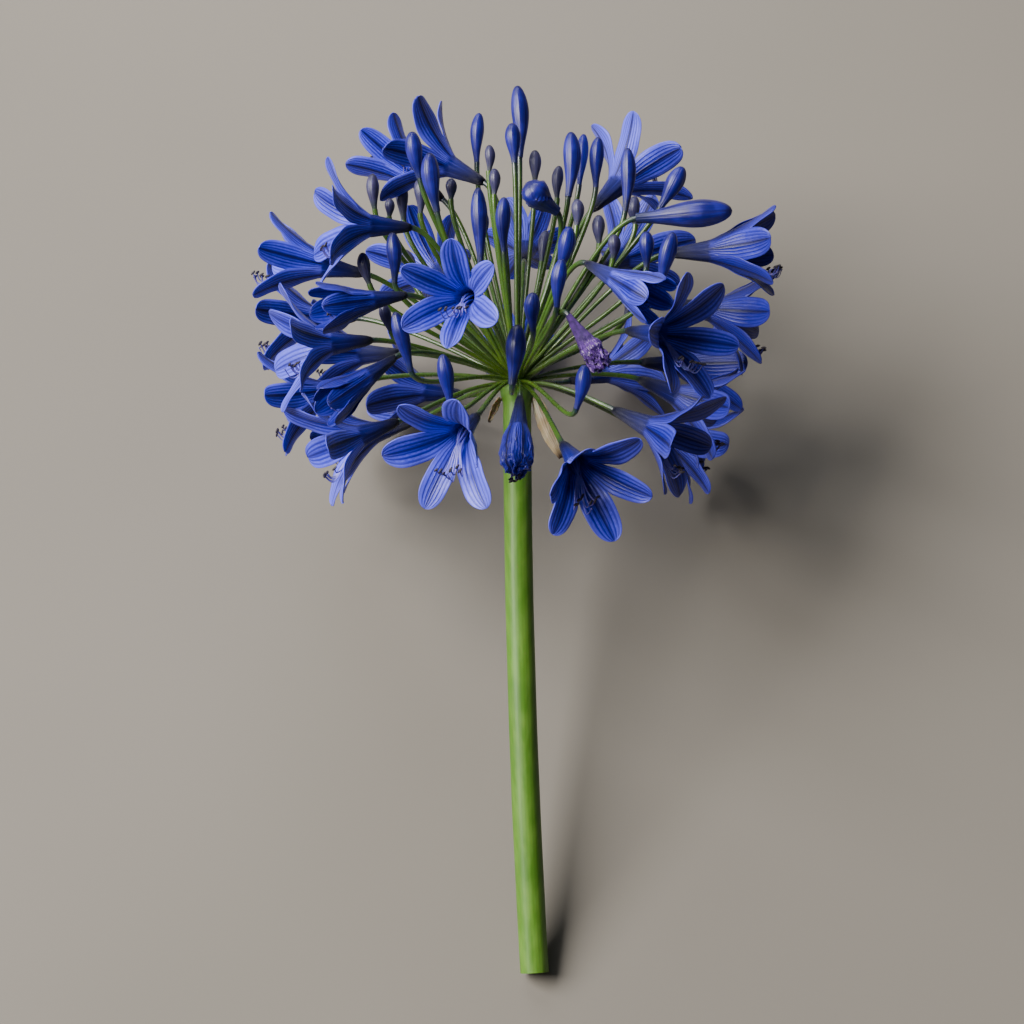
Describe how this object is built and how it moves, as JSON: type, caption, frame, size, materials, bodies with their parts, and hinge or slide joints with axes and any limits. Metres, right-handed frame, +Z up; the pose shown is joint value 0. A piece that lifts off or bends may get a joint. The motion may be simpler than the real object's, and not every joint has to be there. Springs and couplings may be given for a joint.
{
  "type": "agapanthus flower head",
  "caption": "Cut agapanthus flower head lying on its side: a globe of blue funnel florets and buds on thin stalks that radiate from the top of a smooth green stem.",
  "frame": {"origin": "on the surface that the flower lies on, under the centre of the flower's bounding box", "axes": "+Z up, +Y along the surface from the cut end of the stem towards the top of the flower head, +X across it"},
  "size_m": [0.2064, 0.3344, 0.1809],
  "materials": {
    "tepal_blue": "satin, soft and slightly translucent",
    "bud_blue": "satin",
    "withered_purple": "matte, crumpled",
    "stem_green": "satin, smooth and fleshy",
    "dry_spathe": "matte, dry"
  },
  "bodies": {
    "root": {"scape_and_pedicels": "stem_green", "spathe_strip": "dry_spathe", "spathe_shred": "dry_spathe", "bloom_top_left": "tepal_blue", "bloom_top_left_dark": "tepal_blue", "bloom_left_high": "tepal_blue", "bloom_left_half_open": "tepal_blue", "bloom_left_closed": "tepal_blue", "bloom_left_middle": "tepal_blue", "bloom_left_trumpet": "tepal_blue", "bloom_left_edge": "tepal_blue", "bloom_left_low_edge": "tepal_blue", "bloom_left_low": "tepal_blue", "bloom_front_low_left": "tepal_blue", "bloom_front_left": "tepal_blue", "bloom_front_hanging": "tepal_blue", "bloom_front_low_right": "tepal_blue", "bloom_right_low": "tepal_blue", "bloom_right_low_edge": "tepal_blue", "bloom_front_right": "tepal_blue", "bloom_front_right_half_open": "tepal_blue", "bloom_right_edge": "tepal_blue", "bloom_right_high": "tepal_blue", "bloom_top_right": "tepal_blue", "bloom_right_behind": "tepal_blue", "bloom_withered": "withered_purple", "bloom_curled": "tepal_blue", "bloom_back_left_high": "tepal_blue", "bloom_back_right_high": "tepal_blue", "bloom_back_top": "tepal_blue", "bloom_back_left": "tepal_blue", "bloom_back_right": "tepal_blue", "bloom_back_low_right": "tepal_blue", "bloom_back_low_left": "tepal_blue", "bloom_under_left": "tepal_blue", "bloom_back_middle": "tepal_blue", "bud_01": "bud_blue", "bud_02": "bud_blue", "bud_03": "bud_blue", "bud_04": "bud_blue", "bud_05": "bud_blue", "bud_06": "bud_blue", "bud_07": "bud_blue", "bud_08": "bud_blue", "bud_09": "bud_blue", "bud_10": "bud_blue", "bud_11": "bud_blue", "bud_12": "bud_blue", "bud_13": "bud_blue", "bud_14": "bud_blue", "bud_15": "bud_blue", "bud_16": "bud_blue", "bud_17": "bud_blue", "bud_18": "bud_blue", "bud_19": "bud_blue", "bud_20": "bud_blue", "bud_21": "bud_blue", "bud_22": "bud_blue", "bud_23": "bud_blue"}
  },
  "joints": []
}
